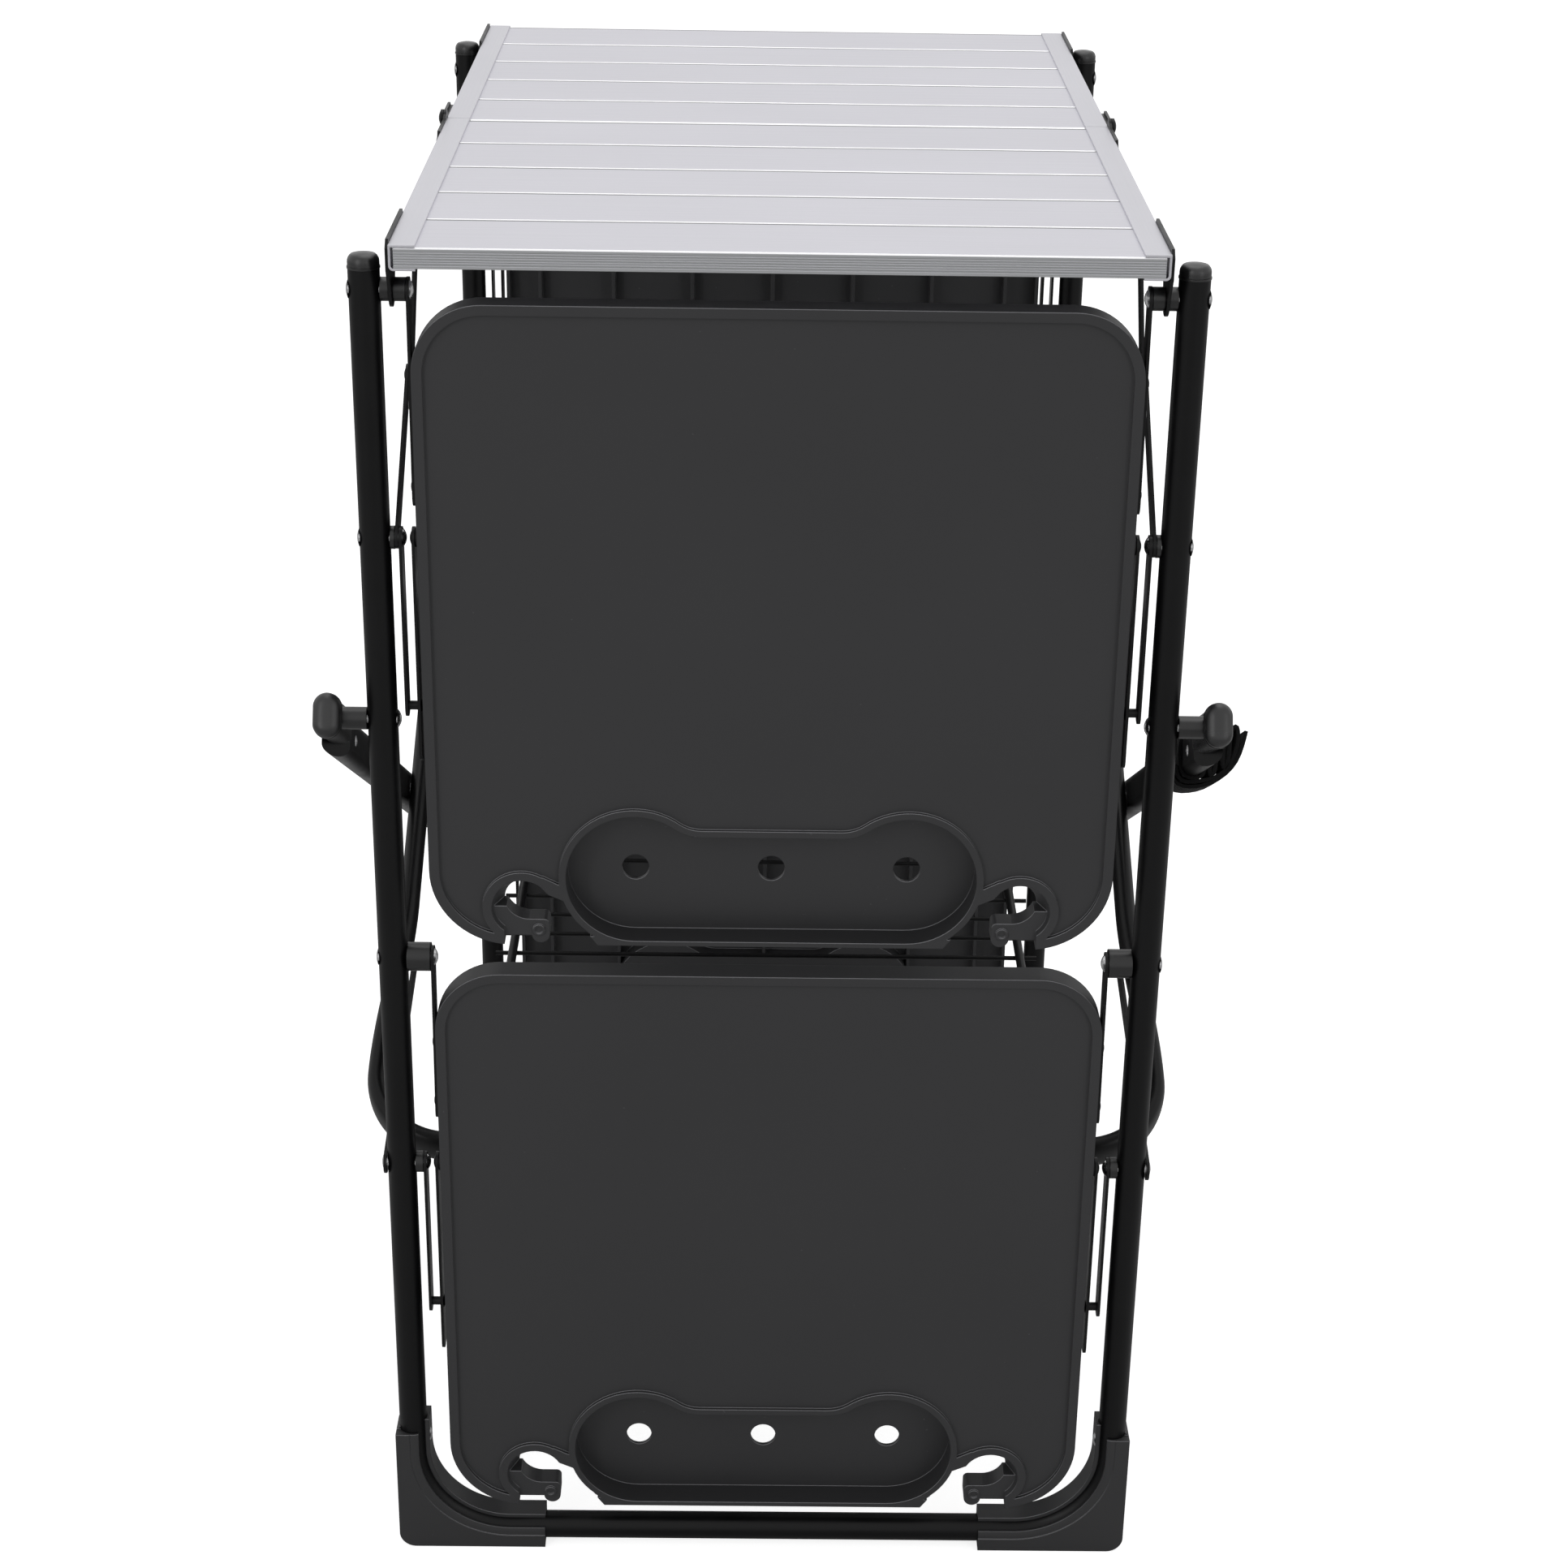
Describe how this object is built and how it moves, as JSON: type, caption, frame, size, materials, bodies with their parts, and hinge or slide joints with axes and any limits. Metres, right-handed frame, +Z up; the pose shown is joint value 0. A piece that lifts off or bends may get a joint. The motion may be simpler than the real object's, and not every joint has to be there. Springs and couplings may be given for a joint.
{
  "type": "folding camping kitchen stand",
  "caption": "Folding camp kitchen stand with a slatted top hinged across the middle, crossing U frames, a wire rack and hanging side trays that fold up.",
  "frame": {"origin": "on the floor under the middle of the stand", "axes": "+X across the stand to its right side, +Y from the near leg frame to the far one, +Z up"},
  "size_m": [0.498, 0.6222, 0.818],
  "materials": {
    "frame_tube": "satin",
    "top_slat": "satin",
    "top_rail": "satin",
    "black_plate": "satin",
    "rubber_cap": "matte",
    "spacer": "satin",
    "foot_plastic": "matte",
    "tray_plastic": "satin",
    "bolt_metal": "polished",
    "rack_wire": "satin",
    "webbing": "matte"
  },
  "bodies": {
    "near_frame": {"near_leg_tube": "frame_tube", "near_left_foot": "foot_plastic", "near_right_foot": "foot_plastic", "near_leg_caps": "rubber_cap", "near_bushings": "spacer", "near_bolts": "bolt_metal"},
    "near_top": {"near_slat_1": "top_slat", "near_slat_2": "top_slat", "near_slat_3": "top_slat", "near_slat_4": "top_slat", "near_slat_5": "top_slat", "near_rails": "top_rail", "near_end_plates": "black_plate", "near_mid_hinge": "black_plate"},
    "near_links": {"near_lower_links": "black_plate"},
    "near_lower_brace": {"near_brace_lower": "black_plate"},
    "near_lower_tray": {"near_lower_tray": "tray_plastic", "near_lower_tray_bars": "black_plate"},
    "near_lower_leg_struts": {"near_lower_leg_struts": "black_plate"},
    "near_lower_tray_struts": {"near_lower_tray_struts": "black_plate"},
    "near_upper_brace": {"near_brace_upper": "black_plate"},
    "near_upper_tray": {"near_upper_tray": "tray_plastic", "near_upper_tray_bars": "black_plate"},
    "near_upper_leg_struts": {"near_upper_leg_struts": "black_plate"},
    "near_upper_tray_struts": {"near_upper_tray_struts": "black_plate"},
    "far_frame": {"far_leg_tube": "frame_tube", "far_left_foot": "foot_plastic", "far_right_foot": "foot_plastic", "far_leg_caps": "rubber_cap", "far_bushings": "spacer", "far_bolts": "bolt_metal"},
    "far_top": {"far_slat_1": "top_slat", "far_slat_2": "top_slat", "far_slat_3": "top_slat", "far_slat_4": "top_slat", "far_slat_5": "top_slat", "far_rails": "top_rail", "far_end_plates": "black_plate", "far_mid_hinge": "black_plate"},
    "far_links": {"far_lower_links": "black_plate"},
    "far_lower_brace": {"far_brace_lower": "black_plate"},
    "far_lower_tray": {"far_lower_tray": "tray_plastic", "far_lower_tray_bars": "black_plate"},
    "far_lower_leg_struts": {"far_lower_leg_struts": "black_plate"},
    "far_lower_tray_struts": {"far_lower_tray_struts": "black_plate"},
    "far_upper_brace": {"far_brace_upper": "black_plate"},
    "far_upper_tray": {"far_upper_tray": "tray_plastic", "far_upper_tray_bars": "black_plate"},
    "far_upper_leg_struts": {"far_upper_leg_struts": "black_plate"},
    "far_upper_tray_struts": {"far_upper_tray_struts": "black_plate"},
    "outer_frame": {"outer_cross_frame": "frame_tube", "outer_frame_ends": "rubber_cap", "outer_frame_pins": "bolt_metal", "strap": "webbing", "strap_patch": "webbing"},
    "inner_frame": {"inner_cross_frame": "frame_tube", "inner_frame_ends": "rubber_cap", "inner_frame_pins": "bolt_metal"},
    "rack": {"rack_frame": "rack_wire", "rack_wires": "rack_wire"}
  },
  "joints": [
    {"name": "fold", "type": "hinge", "parent": "near_frame", "child": "near_top", "pos_m": [0, -0.293, 0.786], "axis": [-1, 0, 0], "range_deg": [0, 82.5]},
    {"name": "mid_hinge", "type": "hinge", "parent": "near_top", "child": "far_top", "pos_m": [0, 0, 0.813], "axis": [1, 0, 0], "range_deg": [0, 165]},
    {"name": "far_leg_pivot", "type": "hinge", "parent": "far_top", "child": "far_frame", "pos_m": [0, 0.293, 0.786], "axis": [-1, 0, 0], "range_deg": [0, 82.5]},
    {"name": "outer_frame_pivot", "type": "hinge", "parent": "near_frame", "child": "outer_frame", "pos_m": [0, -0.293, 0.548], "axis": [-1, 0, 0], "range_deg": [0, 48.44]},
    {"name": "near_link_pivot", "type": "hinge", "parent": "near_frame", "child": "near_links", "pos_m": [0, -0.293, 0.26875], "axis": [-1, 0, 0], "range_deg": [0, 91.4]},
    {"name": "near_brace_leg_pivot", "type": "hinge", "parent": "near_frame", "child": "near_lower_brace", "pos_m": [0, -0.293, 0.652], "axis": [-1, 0, 0], "range_deg": [0, 110.02]},
    {"name": "near_brace_top_pivot", "type": "hinge", "parent": "near_top", "child": "near_upper_brace", "pos_m": [0, -0.163, 0.802], "axis": [1, 0, 0], "range_deg": [0, 119.09]},
    {"name": "near_upper_tray_pivot", "type": "hinge", "parent": "near_frame", "child": "near_upper_tray", "pos_m": [0, -0.293, 0.786], "axis": [-1, 0, 0], "range_deg": [0, 90]},
    {"name": "near_upper_leg_strut_pivot", "type": "hinge", "parent": "near_frame", "child": "near_upper_leg_struts", "pos_m": [0, -0.293, 0.652], "axis": [-1, 0, 0], "range_deg": [0, 125.74]},
    {"name": "near_upper_tray_strut_pivot", "type": "hinge", "parent": "near_upper_tray", "child": "near_upper_tray_struts", "pos_m": [0, -0.293, 0.652], "axis": [1, 0, 0], "range_deg": [0, 125.74]},
    {"name": "near_lower_tray_pivot", "type": "hinge", "parent": "near_frame", "child": "near_lower_tray", "pos_m": [0, -0.293, 0.40275], "axis": [-1, 0, 0], "range_deg": [0, 90]},
    {"name": "near_lower_leg_strut_pivot", "type": "hinge", "parent": "near_frame", "child": "near_lower_leg_struts", "pos_m": [0, -0.293, 0.26875], "axis": [-1, 0, 0], "range_deg": [0, 125.74]},
    {"name": "near_lower_tray_strut_pivot", "type": "hinge", "parent": "near_lower_tray", "child": "near_lower_tray_struts", "pos_m": [0, -0.293, 0.26875], "axis": [1, 0, 0], "range_deg": [0, 125.74]},
    {"name": "inner_frame_pivot", "type": "hinge", "parent": "far_frame", "child": "inner_frame", "pos_m": [0, 0.293, 0.548], "axis": [1, 0, 0], "range_deg": [0, 48.44]},
    {"name": "far_link_pivot", "type": "hinge", "parent": "far_frame", "child": "far_links", "pos_m": [0, 0.293, 0.26875], "axis": [1, 0, 0], "range_deg": [0, 91.4]},
    {"name": "far_brace_leg_pivot", "type": "hinge", "parent": "far_frame", "child": "far_lower_brace", "pos_m": [0, 0.293, 0.652], "axis": [1, 0, 0], "range_deg": [0, 110.02]},
    {"name": "far_brace_top_pivot", "type": "hinge", "parent": "far_top", "child": "far_upper_brace", "pos_m": [0, 0.163, 0.802], "axis": [-1, 0, 0], "range_deg": [0, 119.09]},
    {"name": "far_upper_tray_pivot", "type": "hinge", "parent": "far_frame", "child": "far_upper_tray", "pos_m": [0, 0.293, 0.786], "axis": [1, 0, 0], "range_deg": [0, 90]},
    {"name": "far_upper_leg_strut_pivot", "type": "hinge", "parent": "far_frame", "child": "far_upper_leg_struts", "pos_m": [0, 0.293, 0.652], "axis": [1, 0, 0], "range_deg": [0, 125.74]},
    {"name": "far_upper_tray_strut_pivot", "type": "hinge", "parent": "far_upper_tray", "child": "far_upper_tray_struts", "pos_m": [0, 0.293, 0.652], "axis": [-1, 0, 0], "range_deg": [0, 125.74]},
    {"name": "far_lower_tray_pivot", "type": "hinge", "parent": "far_frame", "child": "far_lower_tray", "pos_m": [0, 0.293, 0.40275], "axis": [1, 0, 0], "range_deg": [0, 90]},
    {"name": "far_lower_leg_strut_pivot", "type": "hinge", "parent": "far_frame", "child": "far_lower_leg_struts", "pos_m": [0, 0.293, 0.26875], "axis": [1, 0, 0], "range_deg": [0, 125.74]},
    {"name": "far_lower_tray_strut_pivot", "type": "hinge", "parent": "far_lower_tray", "child": "far_lower_tray_struts", "pos_m": [0, 0.293, 0.26875], "axis": [-1, 0, 0], "range_deg": [0, 125.74]},
    {"name": "rack_lift", "type": "hinge", "parent": "near_frame", "child": "rack", "pos_m": [0, -0.10664, 0.13156], "axis": [1, 0, 0], "range_deg": [0, 87]}
  ],
  "couplings": [
    {"joint": "mid_hinge", "follows": "fold", "ratio": 2},
    {"joint": "far_leg_pivot", "follows": "fold", "ratio": 1},
    {"joint": "outer_frame_pivot", "follows": "fold", "ratio": 0.58721},
    {"joint": "near_link_pivot", "follows": "fold", "ratio": 1.1078},
    {"joint": "near_brace_leg_pivot", "follows": "fold", "ratio": 1.3336},
    {"joint": "near_brace_top_pivot", "follows": "fold", "ratio": 1.4435},
    {"joint": "near_upper_leg_strut_pivot", "follows": "near_upper_tray_pivot", "ratio": 1.3972},
    {"joint": "near_upper_tray_strut_pivot", "follows": "near_upper_tray_pivot", "ratio": 1.3972},
    {"joint": "near_lower_leg_strut_pivot", "follows": "near_lower_tray_pivot", "ratio": 1.3972},
    {"joint": "near_lower_tray_strut_pivot", "follows": "near_lower_tray_pivot", "ratio": 1.3972},
    {"joint": "inner_frame_pivot", "follows": "fold", "ratio": 0.58721},
    {"joint": "far_link_pivot", "follows": "fold", "ratio": 1.1078},
    {"joint": "far_brace_leg_pivot", "follows": "fold", "ratio": 1.3336},
    {"joint": "far_brace_top_pivot", "follows": "fold", "ratio": 1.4435},
    {"joint": "far_upper_leg_strut_pivot", "follows": "far_upper_tray_pivot", "ratio": 1.3972},
    {"joint": "far_upper_tray_strut_pivot", "follows": "far_upper_tray_pivot", "ratio": 1.3972},
    {"joint": "far_lower_leg_strut_pivot", "follows": "far_lower_tray_pivot", "ratio": 1.3972},
    {"joint": "far_lower_tray_strut_pivot", "follows": "far_lower_tray_pivot", "ratio": 1.3972},
    {"joint": "rack_lift", "follows": "fold", "ratio": 1.0545}
  ]
}
